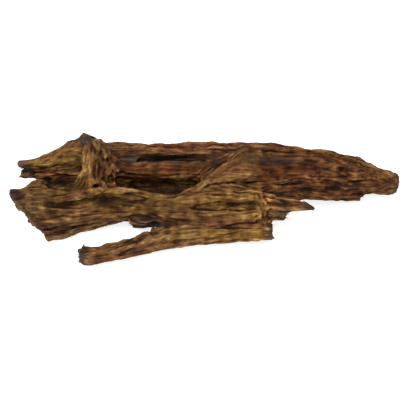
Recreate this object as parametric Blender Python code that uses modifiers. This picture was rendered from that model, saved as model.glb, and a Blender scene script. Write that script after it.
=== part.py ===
"""A weathered mangrove root, lying as it rests on a table: one piece of wood, one solid.

Weather leaves such a root as a bundle of woody strands grown into each other, so it is
modelled as that bundle. Each strand is lofted through a few stations, with ribs along its
grain and broken ends, and thin cords run along its skin. The strands are fused, the
hollows, splits and pits are cut out of them, and the skin is thinned to few faces.

Strands and hollows are laid out in millimetres: +X along the root to its thick end's far
tip, +Y to the back, +Z up, with the table at Z = 0. The finished root is moved so that
the origin is at the middle of its base.
"""

import math
import random
from dataclasses import dataclass

import bmesh
import bpy
import numpy as np
from mathutils import Vector, noise

MM = 0.001
ROOT_LENGTH = 400 * MM

# Half thicknesses of the strands, in mm.
TRUNK = 28.0
KNOT = 22.0
SLAB = 25.0
FORK = 20.0
STRATUM = 11.0
RIDGE = 6.0
PRONG = 11.0
SPLINTER = 4.0
CRACK = 1.7

PIT = 2.6
PIT_LENGTH = 8.0
KNOB = 4.6
KNOB_LENGTH = 9.0

# The way that the front and upper faces look, out of the wood, and the grain of two places.
OUTWARD = (0, -0.64, 0.77)
ALONG_ROOT = (1, 0, 0)
DOWN_KNOT = (0, -0.75, -0.66)

# How closely the lofts are sampled, along the grain, round it and across a broken end.
RING_STEP = 3.0
RIB_STEP = 2.2
CAP_STEP = 6.0

# Ribs: how far a broad flute and a fine rib run along the grain, how much of the relief each
# takes, and how many fine ribs stand in a flute.
FLUTE_LENGTH = 110.0
RIB_LENGTH = 52.0
FLUTE_DEPTH = 2.6
RIB_DEPTH = 1.5
RIB_CLOSENESS = 2.7
DEEPEST_RIB = 0.5

# Broken ends: how coarse and how deep they are, and how far along the grain they reach.
BREAK_COARSENESS = 0.16
BREAK_DEPTH = 1.8
FRAY_REACH = 2.5
SLANT_REACH = 2.2

# Cords along the skin, in shares of the girth, of the strand's length and of a turn.
CORD_STEP = 12.0
CORD_THICKNESS = (0.14, 0.26)
CORD_WIDTH = 1.3
CORD_SINK = 0.9
CORD_START = (0.0, 0.45)
CORD_RUN = (0.35, 0.75)
CORD_TWIST = 0.5
CORD_TIP = 0.22
CORD_RELIEF = 0.6
CORD_SEED = 7

# How much thinner the two ends of a pit or a knob are than its middle.
LENS_TIP = 0.3
LENS_RELIEF = 0.8

SEED_STEP = 11.3
VOXEL = 1.4
SOFTENING_STEPS = 1
GROUND_BITE = 1.2
FACES_KEPT = 11300


@dataclass(frozen=True)
class Strand:
    """A strand of wood, or the shape of a hollow, along its grain.

    Each station is (x, y, z, width, height), where width and height are shares of the
    girth, the strand's half thickness. lean turns the section about the grain, in degrees.
    reference is the direction that the height follows. flutes says how closely the ribs
    stand, and relief how deep they are. fray is how far the broken fibres of the first and
    the last end stand out. slant shears those two ends: how far an end moves along the
    grain for each millimetre across and each millimetre up. cords is how many thin cords
    run along the skin.
    """

    name: str
    girth: float
    stations: tuple
    lean: float = 0.0
    reference: tuple = (0, 0, 1)
    flutes: float = 1.6
    relief: float = 2.4
    fray: tuple = (2.0, 2.0)
    slant: tuple = ((0, 0), (0, 0))
    cords: int = 0


STRANDS = (
    Strand(
        "trunk",
        TRUNK,
        (
            (-126, 110, 38, 0.70, 0.78),
            (-98, 109, 36, 0.95, 0.97),
            (-56, 106, 36, 0.97, 0.97),
            (-4, 105, 37, 0.97, 0.97),
            (49, 105, 38, 0.98, 0.97),
            (86, 106, 36, 0.95, 0.92),
            (104, 107, 35, 0.92, 0.88),
            (123, 107, 32, 0.88, 0.84),
            (144, 107, 28, 0.81, 0.77),
            (160, 109, 25, 0.74, 0.72),
            (174, 111, 22, 0.62, 0.60),
            (192, 111, 16, 0.49, 0.48),
            (203, 111, 14, 0.42, 0.40),
        ),
        flutes=2.2,
        relief=5.5,
        fray=(3.0, 3.0),
        cords=13,
    ),
    Strand(
        "trunk_lower",
        STRATUM,
        (
            (60, 93, 22, 1.0, 1.0),
            (105, 96, 18, 0.9, 0.85),
            (144, 98, 13, 0.70, 0.65),
            (168, 99, 10, 0.62, 0.58),
        ),
        fray=(2.0, 3.0),
    ),
    Strand(
        "trunk_end",
        STRATUM,
        (
            (130, 108, 41, 0.65, 0.55),
            (155, 112, 36, 0.60, 0.55),
            (170, 113, 31, 0.50, 0.45),
        ),
        relief=3.0,
        fray=(0.0, 4.0),
    ),
    Strand(
        "trunk_keel",
        STRATUM,
        (
            (-70, 104, 13, 1.1, 0.8),
            (0, 103, 13, 1.3, 0.8),
            (80, 104, 12, 1.2, 0.8),
            (120, 108, 10, 0.9, 0.85),
            (150, 110, 8, 0.75, 0.75),
            (168, 112, 7, 0.55, 0.6),
        ),
        relief=3.0,
        cords=3,
    ),
    Strand(
        "back_upper",
        STRATUM,
        (
            (-104, 124, 44, 0.7, 0.6),
            (-60, 127, 42, 1.0, 0.9),
            (0, 127, 42, 0.9, 0.8),
            (60, 127, 38, 1.0, 0.9),
            (120, 124, 28, 0.8, 0.7),
            (160, 121, 23, 0.4, 0.4),
        ),
        relief=3.0,
        cords=3,
    ),
    Strand(
        "back_lower",
        STRATUM,
        (
            (-80, 122, 20, 0.9, 0.8),
            (-20, 124, 20, 1.1, 0.9),
            (40, 122, 20, 1.1, 1.0),
            (100, 120, 17, 0.9, 0.8),
            (140, 118, 13, 0.5, 0.5),
        ),
        relief=3.0,
        cords=3,
    ),
    Strand(
        "back_stub",
        STRATUM,
        (
            (8, 112, 30, 1.0, 1.0),
            (22, 128, 24, 0.95, 0.95),
            (34, 140, 17, 0.75, 0.75),
        ),
        relief=2.5,
        fray=(0.0, 4.0),
        cords=3,
    ),
    Strand(
        "knot",
        KNOT,
        (
            (-104, 113, 0, 0.42, 0.40),
            (-104, 112, 14, 0.62, 0.56),
            (-105, 107, 32, 0.90, 0.90),
            (-108, 104, 50, 1.00, 1.08),
            (-116, 106, 67, 0.62, 0.68),
            (-122, 109, 80, 0.27, 0.27),
        ),
        reference=(0, 1, 0),
        flutes=2.8,
        relief=5.5,
        fray=(1.0, 3.0),
        cords=9,
    ),
    Strand(
        "knot_brow",
        STRATUM,
        (
            (-98, 107, 50, 0.9, 0.9),
            (-107, 110, 64, 0.7, 0.7),
            (-111, 112, 70, 0.45, 0.4),
        ),
        reference=(0, 1, 0),
    ),
    Strand(
        "knot_ridge",
        RIDGE,
        (
            (-121, 108, 76, 0.8, 0.8),
            (-120, 101, 69, 1.1, 1.0),
            (-118, 88, 60, 1.3, 1.1),
            (-117, 78, 52, 1.3, 1.0),
            (-114, 70, 45, 1.5, 0.9),
        ),
        reference=OUTWARD,
        relief=1.6,
    ),
    Strand(
        "knot_ridge_right",
        RIDGE,
        (
            (-110, 113, 71, 0.7, 0.7),
            (-103, 104, 67, 0.8, 0.8),
            (-97, 92, 61, 0.8, 0.8),
            (-91, 79, 53, 0.9, 0.8),
            (-88, 72, 46, 1.0, 0.7),
        ),
        reference=OUTWARD,
        relief=1.2,
    ),
    Strand(
        "knot_flare",
        RIDGE,
        (
            (-119, 84, 56, 1.0, 0.9),
            (-127, 73, 51, 1.2, 0.8),
            (-139, 64, 47, 1.0, 0.7),
        ),
        reference=OUTWARD,
        relief=1.2,
    ),
    Strand(
        "knot_front",
        STRATUM,
        (
            (-104, 98, 50, 1.0, 1.1),
            (-104, 84, 40, 1.2, 1.1),
            (-104, 70, 34, 1.1, 0.9),
        ),
    ),
    Strand(
        "fork",
        FORK,
        (
            (-104, 109, 52, 0.90, 1.05),
            (-129, 110, 52, 0.90, 1.14),
            (-148, 104, 50, 0.66, 0.88),
            (-165, 102, 47, 0.46, 0.70),
            (-181, 100, 45, 0.32, 0.50),
            (-191, 98, 44, 0.26, 0.40),
        ),
        flutes=2.4,
        relief=3.2,
        fray=(0.0, 3.0),
        cords=7,
    ),
    Strand(
        "fork_upper_tip",
        SPLINTER,
        (
            (-150, 111, 56, 1.6, 1.4),
            (-176, 102, 52, 1.2, 1.1),
            (-193, 102, 50, 0.6, 0.6),
        ),
        relief=1.0,
    ),
    Strand(
        "fork_lower_tip",
        SPLINTER,
        (
            (-150, 99, 42, 1.6, 1.4),
            (-175, 95, 42, 1.2, 1.0),
            (-191, 91, 42, 0.65, 0.55),
        ),
        relief=1.0,
    ),
    Strand(
        "pocket_wall",
        STRATUM,
        (
            (-168, 93, 33, 0.6, 0.8),
            (-159, 95, 30, 0.9, 1.2),
            (-135, 94, 28, 1.1, 1.3),
            (-108, 92, 26, 1.3, 1.4),
            (-77, 91, 24, 1.3, 1.3),
        ),
        flutes=2.2,
        relief=3.0,
    ),
    Strand(
        "slab",
        SLAB,
        (
            (-205, 52, 29, 0.48, 1.04),
            (-177, 52, 29, 0.52, 1.00),
            (-147, 52, 29, 0.54, 0.78),
            (-117, 57, 29, 0.54, 0.70),
            (-86, 63, 28, 0.54, 0.60),
            (-55, 61, 27, 0.52, 0.46),
            (-14, 61, 24, 0.56, 0.36),
        ),
        lean=-12,
        flutes=2.2,
        relief=4.0,
        cords=7,
    ),
    Strand(
        "slab_rim",
        RIDGE,
        (
            (-205, 57, 46, 0.7, 0.6),
            (-177, 57, 46, 0.9, 0.75),
            (-157, 55, 46, 0.9, 0.75),
            (-131, 59, 46, 0.85, 0.7),
            (-106, 62, 46, 0.85, 0.7),
            (-75, 63, 45, 0.85, 0.7),
            (-45, 61, 39, 0.85, 0.7),
            (-14, 61, 35, 0.85, 0.7),
        ),
        relief=1.4,
    ),
    Strand(
        "slab_bulge",
        RIDGE,
        (
            (-195, 43, 27, 1.0, 1.1),
            (-164, 44, 26, 1.1, 1.15),
            (-127, 47, 25, 1.2, 1.2),
            (-86, 54, 25, 1.15, 1.15),
            (-45, 54, 25, 1.15, 1.15),
            (-14, 54, 25, 1.15, 1.15),
        ),
        relief=1.8,
    ),
    Strand(
        "slab_lip",
        SPLINTER,
        (
            (-185, 41, 3, 1.2, 1.3),
            (-158, 44, 4, 1.35, 1.45),
            (-133, 48, 6, 1.35, 1.45),
            (-110, 53, 8, 1.2, 1.35),
            (-93, 56, 12, 1.0, 1.2),
            (-74, 57, 14, 1.0, 1.2),
        ),
        relief=1.2,
    ),
    Strand(
        "slab_corner",
        RIDGE,
        (
            (-205, 57, 42, 0.7, 0.7),
            (-181, 61, 45, 1.0, 0.9),
            (-172, 67, 50, 1.2, 1.0),
            (-162, 69, 50, 1.2, 1.0),
            (-151, 64, 47, 1.0, 0.85),
            (-140, 62, 44, 0.8, 0.7),
        ),
        relief=2.0,
    ),
    Strand(
        "slab_back",
        SLAB,
        (
            (-165, 75, 20, 0.48, 0.48),
            (-130, 82, 18, 0.72, 0.56),
            (-95, 84, 16, 0.80, 0.56),
            (-50, 80, 14, 0.72, 0.50),
            (0, 75, 16, 0.64, 0.54),
        ),
        relief=3.5,
        cords=4,
    ),
    Strand(
        "slab_spur",
        SPLINTER,
        (
            (-36, 53, 15, 1.6, 1.5),
            (-57, 50, 13, 1.4, 1.3),
            (-74, 48, 11, 0.8, 0.8),
        ),
        relief=0.8,
    ),
    Strand(
        "prong",
        PRONG,
        (
            (-126, 3, 8, 0.55, 0.60),
            (-117, 3, 9, 0.76, 0.77),
            (-101, 6, 9, 0.82, 0.83),
            (-85, 10, 10, 0.87, 0.87),
            (-69, 16, 10, 0.94, 0.96),
            (-55, 22, 11, 0.98, 1.00),
            (-44, 26, 12, 1.04, 1.06),
            (-28, 30, 12, 1.04, 1.08),
            (-4, 36, 12, 1.04, 1.08),
            (29, 39, 12, 1.00, 1.04),
            (62, 40, 12, 1.00, 1.04),
            (71, 40, 12, 0.95, 1.00),
        ),
        flutes=2.0,
        relief=2.6,
        fray=(4.0, 2.5),
        cords=6,
    ),
    Strand(
        "prong_spike",
        SPLINTER,
        (
            (-108, 8, 14, 1.1, 0.9),
            (-119, 9, 15, 0.8, 0.7),
            (-124, 12, 15, 0.5, 0.5),
        ),
        relief=0.4,
        fray=(0.0, 0.5),
    ),
    Strand(
        "heart",
        STRATUM,
        (
            (-45, 54, 16, 1.0, 0.9),
            (0, 60, 17, 2.0, 1.3),
            (40, 62, 18, 2.0, 1.3),
            (60, 64, 18, 1.5, 1.1),
        ),
        cords=3,
    ),
    Strand(
        "lower_stratum",
        STRATUM,
        (
            (-55, 52, 21, 0.8, 0.8),
            (-19, 50, 23, 0.95, 0.9),
            (17, 50, 24, 0.95, 0.9),
            (48, 51, 24, 0.95, 0.9),
            (64, 51, 23, 0.9, 0.8),
        ),
        flutes=2.0,
        relief=3.0,
        fray=(2.0, 3.0),
        slant=((0, 0), (0.5, 0)),
        cords=3,
    ),
    Strand(
        "lower_splinter",
        SPLINTER,
        (
            (43, 58, 20, 1.6, 1.6),
            (69, 57, 18, 1.5, 1.5),
            (87, 54, 17, 1.0, 0.9),
        ),
        relief=1.2,
        fray=(0.0, 3.0),
    ),
    Strand(
        "middle_stratum",
        STRATUM,
        (
            (-45, 58, 33, 0.65, 0.65),
            (-14, 62, 36, 0.9, 0.8),
            (17, 68, 38, 1.0, 0.9),
            (43, 70, 36, 1.1, 0.9),
            (60, 70, 33, 1.0, 0.9),
        ),
        flutes=2.0,
        relief=3.0,
        fray=(1.0, 3.0),
        slant=((0, 0), (0.5, 0)),
        cords=3,
    ),
    Strand(
        "middle_splinter",
        STRATUM,
        (
            (40, 72, 28, 1.0, 0.8),
            (79, 65, 27, 0.78, 0.68),
            (98, 63, 26, 0.6, 0.52),
            (109, 62, 24, 0.36, 0.32),
            (116, 60, 23, 0.16, 0.16),
        ),
        relief=1.8,
        fray=(0.0, 1.0),
    ),
    Strand(
        "upper_stratum",
        STRATUM,
        (
            (-9, 68, 45, 0.5, 0.45),
            (12, 75, 49, 0.8, 0.65),
            (38, 84, 52, 1.0, 0.8),
            (61, 88, 49, 1.0, 0.9),
            (90, 90, 41, 0.8, 0.8),
        ),
        flutes=2.0,
        relief=2.6,
    ),
    Strand(
        "cross_ridge",
        RIDGE,
        (
            (48, 107, 65, 0.7, 0.6),
            (27, 93, 61, 0.8, 0.8),
            (9, 77, 54, 0.85, 0.85),
            (-12, 66, 46, 0.9, 0.85),
            (-30, 59, 39, 0.8, 0.7),
        ),
        reference=OUTWARD,
        relief=1.2,
    ),
    Strand(
        "cross_ridge_lower",
        RIDGE,
        (
            (60, 104, 63, 0.8, 0.6),
            (41, 90, 59, 0.9, 0.8),
            (22, 75, 52, 0.9, 0.8),
            (3, 65, 45, 0.8, 0.7),
        ),
        reference=OUTWARD,
        relief=1.2,
    ),
)

HOLLOWS = (
    Strand(
        "broken_left_end",
        SLAB,
        (
            (-240, 15, 3, 1.8, 1.8),
            (-187, 54, 30, 1.8, 1.8),
        ),
        relief=1.0,
        fray=(0.0, 1.4),
        slant=((0, 0), (0, 0.12)),
    ),
    Strand(
        "split_over_rail",
        CRACK,
        (
            (-84, 97, 59, 0.5, 2.0),
            (-66, 97, 60, 1.9, 6.0),
            (-40, 97, 61, 2.2, 7.5),
            (0, 96, 62, 2.2, 7.5),
            (14, 96, 62, 1.3, 5.0),
            (26, 96, 63, 0.4, 1.0),
        ),
        reference=(0, -0.5, 0.85),
        relief=0.6,
    ),
    Strand(
        "hollow_under_rail",
        STRATUM,
        (
            (-96, 82, 45, 0.35, 0.5),
            (-78, 79, 42, 0.85, 1.3),
            (-55, 78, 40, 0.95, 1.6),
            (-35, 76, 39, 1.00, 1.6),
            (-19, 74, 41, 0.80, 1.3),
            (0, 76, 47, 0.35, 0.5),
        ),
        reference=OUTWARD,
        relief=1.5,
    ),
    Strand(
        "slab_groove",
        SPLINTER,
        (
            (-162, 43, 42, 0.25, 0.25),
            (-145, 45, 42, 0.9, 0.8),
            (-116, 50, 41, 1.1, 1.1),
            (-98, 54, 40, 1.2, 1.4),
            (-85, 55, 40, 1.2, 1.4),
            (-72, 53, 39, 0.3, 0.4),
        ),
        reference=OUTWARD,
        relief=0.6,
    ),
    Strand(
        "slab_crack",
        CRACK,
        (
            (-176, 43, 6, 0.7, 2.5),
            (-155, 44, 9, 1.1, 4.0),
            (-138, 44, 12, 1.1, 4.0),
            (-122, 46, 15, 0.9, 3.5),
            (-103, 48, 18, 0.3, 1.0),
        ),
        reference=(0, -0.9, 0.4),
        relief=0.3,
    ),
    Strand(
        "crack_under_plateau",
        CRACK,
        (
            (8, 65, 51, 0.3, 0.8),
            (20, 68, 52, 0.9, 3.5),
            (38, 72, 50, 1.2, 4.5),
            (60, 75, 48, 1.1, 4.5),
            (88, 81, 45, 0.3, 1.0),
        ),
        reference=OUTWARD,
        relief=0.3,
    ),
    Strand(
        "crack_in_strata",
        CRACK,
        (
            (7, 55, 36, 0.3, 0.8),
            (24, 55, 36, 1.0, 4.0),
            (45, 56, 35, 1.2, 4.5),
            (72, 57, 33, 1.0, 4.0),
        ),
        reference=OUTWARD,
        relief=0.3,
    ),
    Strand(
        "crack_over_bottom_strand",
        CRACK,
        (
            (-24, 34, 24, 0.3, 0.8),
            (0, 36, 23, 1.0, 4.0),
            (30, 38, 22, 1.3, 5.0),
            (74, 38, 21, 1.2, 5.0),
        ),
        reference=OUTWARD,
        relief=0.3,
    ),
    Strand(
        "crack_across_strata",
        CRACK,
        (
            (32, 49, 33, 0.4, 1.0),
            (45, 46, 31, 1.1, 3.0),
            (62, 41, 28, 1.0, 3.0),
        ),
        reference=OUTWARD,
        relief=0.3,
    ),
    Strand(
        "crack_along_beam",
        CRACK,
        (
            (76, 80, 36, 0.4, 1.0),
            (111, 83, 30, 1.1, 4.0),
            (130, 84, 29, 1.1, 4.0),
            (154, 88, 26, 0.3, 1.0),
        ),
        reference=OUTWARD,
        relief=0.3,
    ),
    Strand(
        "scar",
        CRACK,
        (
            (46, 91, 65, 0.6, 0.4),
            (62, 92, 65, 2.2, 1.4),
            (80, 93, 64, 2.2, 1.4),
            (98, 94, 61, 0.6, 0.4),
        ),
        reference=OUTWARD,
        relief=0.4,
    ),
    Strand(
        "crack_at_ridge",
        CRACK,
        (
            (4, 60, 45, 0.3, 0.8),
            (18, 60, 44, 1.0, 2.5),
            (32, 60, 43, 0.3, 0.8),
        ),
        reference=OUTWARD,
        relief=0.3,
    ),
)

# Places on the skin of pits in the knot and in the thick end, and of knobs beside them.
KNOT_PITS = (
    (-106, 92, 72),
    (-105, 84, 57),
    (-105, 73, 48),
    (-96, 79, 51),
    (-94, 89, 64),
    (-91, 73, 46),
)
BEAM_PITS = (
    (123, 99, 54),
    (121, 88, 44),
    (147, 98, 46),
    (149, 92, 39),
    (137, 85, 33),
    (172, 99, 30),
    (108, 88, 50),
)
BEAM_KNOBS = (
    (134, 91, 46),
    (158, 96, 40),
    (146, 103, 48),
    (174, 105, 37),
    (184, 101, 27),
    (112, 86, 40),
    (196, 104, 22),
)


def spline(rows, step):
    """Catmull-Rom points through the rows of an array, about one step apart along x, y, z."""
    padded = np.vstack([2 * rows[0] - rows[1], rows, 2 * rows[-1] - rows[-2]])
    points = []
    for before, start, end, after in zip(padded, padded[1:], padded[2:], padded[3:]):
        count = max(1, round(float(np.linalg.norm(end[:3] - start[:3])) / step))
        for t in np.arange(count) / count:
            points.append(
                0.5
                * (
                    2 * start
                    + (end - before) * t
                    + (2 * before - 5 * start + 4 * end - after) * t**2
                    + (3 * start - before - 3 * end + after) * t**3
                )
            )
    points.append(rows[-1])
    return np.array(points)


@dataclass(frozen=True)
class Section:
    """The cross-section of a strand at one place along its grain, in mm."""

    centre: Vector
    grain: Vector
    width: Vector
    height: Vector
    half_width: float
    half_height: float
    along: float

    def skin(self, angle, share=1.0):
        """The point of the plain skin at an angle round the grain, shrunk to a share."""
        across = self.half_width * share * math.cos(angle)
        up = self.half_height * share * math.sin(angle)
        return self.centre + self.width * across + self.height * up


def sections(strand, step):
    """The strand's sections, about one step apart."""
    path = spline(np.array(strand.stations, float), step)
    lean = math.radians(strand.lean)
    reference = Vector(strand.reference)
    found = []
    along = 0.0
    for index, (x, y, z, width_share, height_share) in enumerate(path):
        before = path[max(index - 1, 0), :3]
        after = path[min(index + 1, len(path) - 1), :3]
        grain = Vector(after - before).normalized()
        side = reference.cross(grain).normalized()
        top = grain.cross(side)
        width = side * math.cos(lean) + top * math.sin(lean)
        height = top * math.cos(lean) - side * math.sin(lean)
        centre = Vector((x, y, z))
        if found:
            along += (centre - found[-1].centre).length
        half_width, half_height = strand.girth * width_share, strand.girth * height_share
        found.append(Section(centre, grain, width, height, half_width, half_height, along))
    return found


def ribs(strand, seed, angle, along):
    """How far the skin stands out at an angle round the grain and a place along it, in mm."""
    around = Vector((math.cos(angle), math.sin(angle), 0)) * strand.flutes
    flute = abs(noise.noise(around + Vector((seed, 0, along / FLUTE_LENGTH))))
    rib = abs(noise.noise(around * RIB_CLOSENESS + Vector((0, seed, along / RIB_LENGTH))))
    return strand.relief * (FLUTE_DEPTH * flute + RIB_DEPTH * rib - 1)


def break_at(strand, seed, end, across, up):
    """How far a broken end stands out along the grain at a place in its section, in mm."""
    place = Vector((across * BREAK_COARSENESS, up * BREAK_COARSENESS, seed * (1 + end)))
    slope_across, slope_up = strand.slant[end]
    rough = BREAK_DEPTH * strand.fray[end] * noise.noise(place)
    return rough + slope_across * across + slope_up * up


def break_reach(strand, end, widest):
    """How far along the grain the shape of a broken end reaches, in mm."""
    return FRAY_REACH * strand.fray[end] + SLANT_REACH * widest * max(map(abs, strand.slant[end]))


def loft(mesh, strand, seed):
    """Adds a closed strand to the mesh: rings along the grain, then a rough cap at each end."""
    path = sections(strand, RING_STEP)
    widest = max(max(section.half_width, section.half_height) for section in path)
    count = max(8, round(2 * math.pi * widest / RIB_STEP))
    angles = [2 * math.pi * k / count for k in range(count)]
    length = path[-1].along

    def ring(section, share=1.0):
        """A ring of vertices on a section, shrunk to a share of it."""
        smallest = -DEEPEST_RIB * min(section.half_width, section.half_height)
        verts = []
        for angle in angles:
            skin = max(ribs(strand, seed, angle, section.along), smallest) * share
            across = (section.half_width * share + skin) * math.cos(angle)
            up = (section.half_height * share + skin) * math.sin(angle)
            shift = 0.0
            for end, distance in enumerate((section.along, length - section.along)):
                reach = break_reach(strand, end, widest)
                if distance < reach:
                    outward = break_at(strand, seed, end, across, up) * (1 - distance / reach)
                    shift += outward if end else -outward
            place = section.centre + section.width * across + section.height * up
            verts.append(mesh.verts.new((place + section.grain * shift) * MM))
        return verts

    cap_rings = max(3, round(widest / CAP_STEP))
    shares = [k / cap_rings for k in range(1, cap_rings)]
    rings = [ring(path[0], share) for share in shares]
    rings += [ring(section) for section in path]
    rings += [ring(path[-1], share) for share in reversed(shares)]
    for lower, upper in zip(rings, rings[1:]):
        for k in range(count):
            j = (k + 1) % count
            mesh.faces.new((lower[k], lower[j], upper[j], upper[k]))
    mesh.faces.new(rings[0][::-1])
    mesh.faces.new(rings[-1])


def cords_on(strand, draw):
    """The thin cords that stand out of a strand's skin, each along a stretch of its grain."""
    path = sections(strand, CORD_STEP)
    end = len(path) - 1
    made = []
    for k in range(strand.cords):
        angle = 2 * math.pi * (k + draw.uniform(-CORD_TWIST, CORD_TWIST)) / strand.cords
        twist = draw.uniform(-CORD_TWIST, CORD_TWIST)
        first = round(draw.uniform(*CORD_START) * end)
        last = min(first + max(2, round(draw.uniform(*CORD_RUN) * end)), end)
        thick = draw.uniform(*CORD_THICKNESS) * strand.girth
        stations = []
        for index in range(first, last + 1):
            section = path[index]
            share = (index - first) / (last - first)
            girth = min(section.half_width, section.half_height) / strand.girth
            swell = max(CORD_TIP, math.sin(math.pi * share) ** 0.5) * girth
            place = section.skin(angle + twist * share, CORD_SINK)
            stations.append((*place, CORD_WIDTH * swell, swell))
        middle = path[(first + last) // 2]
        outward = tuple((middle.skin(angle + twist / 2) - middle.centre).normalized())
        made.append(Strand("cord", thick, tuple(stations), reference=outward, relief=CORD_RELIEF))
    return made


def lens(name, girth, place, grain, length):
    """A short strand that tapers to both ends, for a pit or a knob on the skin."""
    reach = Vector(grain) * length
    ends = ((-1, LENS_TIP), (0, 1.0), (1, LENS_TIP))
    stations = tuple((*(Vector(place) + reach * way), share, share) for way, share in ends)
    return Strand(name, girth, stations, reference=OUTWARD, relief=LENS_RELIEF, fray=(0, 0))


def bundle(name, strands, collection):
    """One object that holds a closed loft for each strand, in a collection."""
    mesh = bmesh.new()
    for index, strand in enumerate(strands):
        loft(mesh, strand, SEED_STEP * (index + 1))
    bmesh.ops.recalc_face_normals(mesh, faces=mesh.faces)
    data = bpy.data.meshes.new(name)
    mesh.to_mesh(data)
    mesh.free()
    made = bpy.data.objects.new(name, data)
    collection.objects.link(made)
    return made


def add_remesh(body, name):
    """A voxel remesh, which fuses what overlaps into one skin."""
    remesh = body.modifiers.new(name, "REMESH")
    remesh.mode = "VOXEL"
    remesh.voxel_size = VOXEL * MM


def apply_modifiers(body):
    """Makes the evaluated mesh the object's own, and drops the modifiers."""
    graph = bpy.context.evaluated_depsgraph_get()
    mesh = bpy.data.meshes.new_from_object(body.evaluated_get(graph))
    body.modifiers.clear()
    body.data = mesh


def cut_hollows(body, collection):
    """Cuts each hollow and pit out of the fused wood, with a cutter in the collection."""
    pits = [lens("knot_pit", PIT, place, DOWN_KNOT, PIT_LENGTH) for place in KNOT_PITS]
    pits += [lens("beam_pit", PIT, place, ALONG_ROOT, PIT_LENGTH) for place in BEAM_PITS]
    for hollow in (*HOLLOWS, *pits):
        cutter = bundle(hollow.name, (hollow,), collection)
        cutter.hide_render = True
        cutter.display_type = "WIRE"
        cut = body.modifiers.new(hollow.name, "BOOLEAN")
        cut.operation = "DIFFERENCE"
        cut.solver = "MANIFOLD"
        cut.object = cutter


def thin(body):
    """Keeps only as many faces as the form needs."""
    triangles = sum(len(face.vertices) - 2 for face in body.data.polygons)
    fewer = body.modifiers.new("fewer_faces", "DECIMATE")
    fewer.ratio = min(1.0, FACES_KEPT / triangles)


def rest_flat(body):
    """Cuts the low points off level, so that the root rests on small flat spots."""
    mesh = bmesh.new()
    mesh.from_mesh(body.data)
    lowest = min(vert.co.z for vert in mesh.verts)
    level = max(0.0, lowest + GROUND_BITE * MM)
    cut = bmesh.ops.bisect_plane(
        mesh,
        geom=mesh.verts[:] + mesh.edges[:] + mesh.faces[:],
        dist=1e-6,
        plane_co=(0, 0, level),
        plane_no=(0, 0, -1),
        clear_outer=True,
    )
    rim = [item for item in cut["geom_cut"] if isinstance(item, bmesh.types.BMEdge)]
    bmesh.ops.contextual_create(mesh, geom=rim)
    bmesh.ops.triangulate(mesh, faces=mesh.faces)
    mesh.to_mesh(body.data)
    mesh.free()


def centre(body):
    """Scales the root to its length and puts the origin at the middle of its base."""
    places = np.array([vert.co for vert in body.data.vertices])
    low, high = places.min(axis=0), places.max(axis=0)
    scale = ROOT_LENGTH / (high[0] - low[0])
    middle = (low + high) / 2
    middle[2] = low[2]
    body.data.vertices.foreach_set("co", ((places - middle) * scale).ravel())
    body.data.update()


def wood_material():
    """Weathered brown wood."""
    material = bpy.data.materials.new("weathered_root")
    material.use_nodes = True
    shader = material.node_tree.nodes["Principled BSDF"]
    shader.inputs["Base Color"].default_value = (0.130, 0.070, 0.032, 1)
    shader.inputs["Roughness"].default_value = 0.8
    shader.inputs["Metallic"].default_value = 0.0
    return material


def main():
    for leftover in list(bpy.data.objects):
        bpy.data.objects.remove(leftover)
    root = bpy.data.collections.new("mangrove_root")
    cutters = bpy.data.collections.new("hollows")
    for collection in (root, cutters):
        bpy.context.scene.collection.children.link(collection)

    draw = random.Random(CORD_SEED)
    cords = [cord for strand in STRANDS for cord in cords_on(strand, draw)]
    knobs = [lens("knob", KNOB, place, ALONG_ROOT, KNOB_LENGTH) for place in BEAM_KNOBS]
    body = bundle("mangrove_root", (*STRANDS, *cords, *knobs), root)
    add_remesh(body, "fuse_strands")
    cut_hollows(body, cutters)
    add_remesh(body, "fuse_again")
    soften = body.modifiers.new("soften", "SMOOTH")
    soften.iterations = SOFTENING_STEPS
    apply_modifiers(body)
    for cutter in list(cutters.objects):
        bpy.data.objects.remove(cutter)
    thin(body)
    apply_modifiers(body)
    rest_flat(body)
    centre(body)
    body.data.materials.append(wood_material())


main()
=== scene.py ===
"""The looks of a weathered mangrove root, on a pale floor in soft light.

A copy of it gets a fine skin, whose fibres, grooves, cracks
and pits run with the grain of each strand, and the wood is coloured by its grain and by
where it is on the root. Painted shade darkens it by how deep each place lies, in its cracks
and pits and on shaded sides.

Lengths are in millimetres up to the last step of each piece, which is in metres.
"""

import itertools
import logging
import math
from dataclasses import dataclass
from enum import Enum

import bmesh
import bpy
import numpy as np
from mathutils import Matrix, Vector
from mathutils.bvhtree import BVHTree


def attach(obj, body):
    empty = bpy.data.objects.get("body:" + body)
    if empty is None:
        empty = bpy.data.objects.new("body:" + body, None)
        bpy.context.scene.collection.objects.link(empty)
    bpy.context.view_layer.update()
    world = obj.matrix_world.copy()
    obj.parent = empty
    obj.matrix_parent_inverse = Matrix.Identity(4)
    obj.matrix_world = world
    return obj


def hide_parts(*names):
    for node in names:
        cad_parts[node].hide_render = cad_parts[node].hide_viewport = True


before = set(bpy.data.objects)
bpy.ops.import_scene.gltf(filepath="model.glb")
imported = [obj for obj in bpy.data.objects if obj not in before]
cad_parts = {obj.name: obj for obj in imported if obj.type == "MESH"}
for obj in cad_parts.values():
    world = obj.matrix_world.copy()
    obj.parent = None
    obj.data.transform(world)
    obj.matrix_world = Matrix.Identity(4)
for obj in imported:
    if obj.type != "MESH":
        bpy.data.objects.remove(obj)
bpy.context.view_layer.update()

MM = 0.001
NODE = "mangrove_root"
BODY = "root"
LOG = logging.getLogger("mangrove_root")

Point = tuple[float, float, float]
Colour = tuple[float, float, float, float]


class Tone(Enum):
    """A tint that the wood takes in some places, and for the dark tone also painted shade on shaded sides
    and in recesses. Each is an attribute of the skin.
    """

    RED = "red_tone"
    ORANGE = "orange_tone"
    OLIVE = "olive_tone"
    MAUVE = "mauve_tone"
    PALE = "pale_tone"
    DARK = "dark_and_shade_tone"
    GREY = "grey_tone"


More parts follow.
